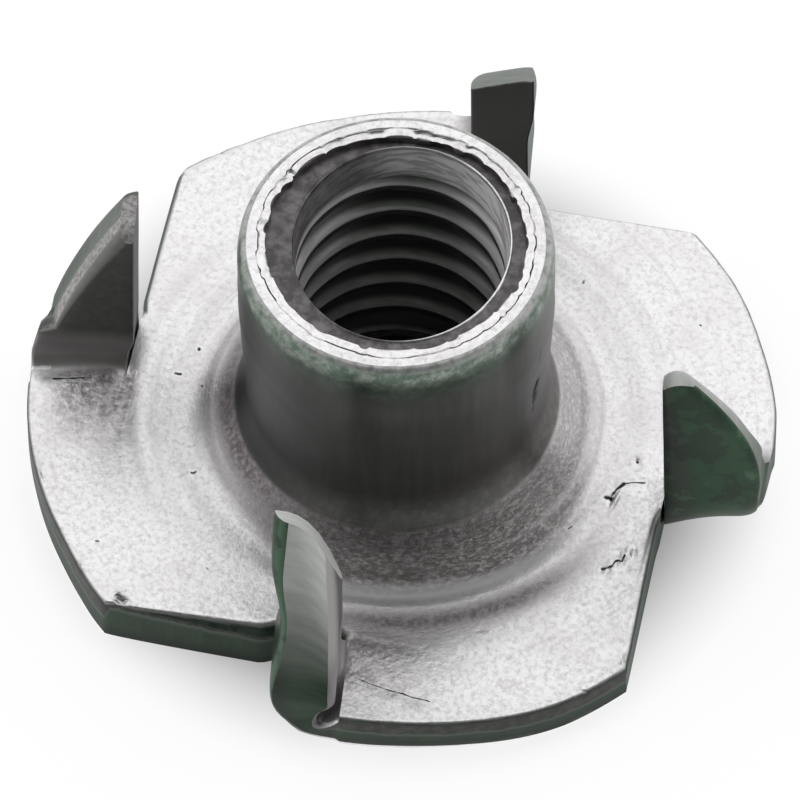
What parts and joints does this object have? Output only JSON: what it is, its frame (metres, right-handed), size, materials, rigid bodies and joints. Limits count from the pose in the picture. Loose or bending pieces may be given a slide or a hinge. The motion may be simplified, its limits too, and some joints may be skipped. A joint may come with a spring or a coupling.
{
  "type": "tee nut",
  "caption": "Pronged tee nut: a round steel flange with folded-up spikes and a drawn, internally threaded barrel.",
  "frame": {"origin": "centre of the flange's underside, on the axis of the threaded bore", "axes": "+Z along the bore axis, from the flange towards the mouth of the barrel and the prong tips; X and Y run through the folds of the prongs"},
  "size_m": [0.022, 0.022, 0.0105],
  "materials": {
    "steel": "satin pressed steel, bright on the flat faces and dark on the sheared edges and the barrel wall"
  },
  "bodies": {
    "root": {"tee_nut": "steel"}
  },
  "joints": []
}
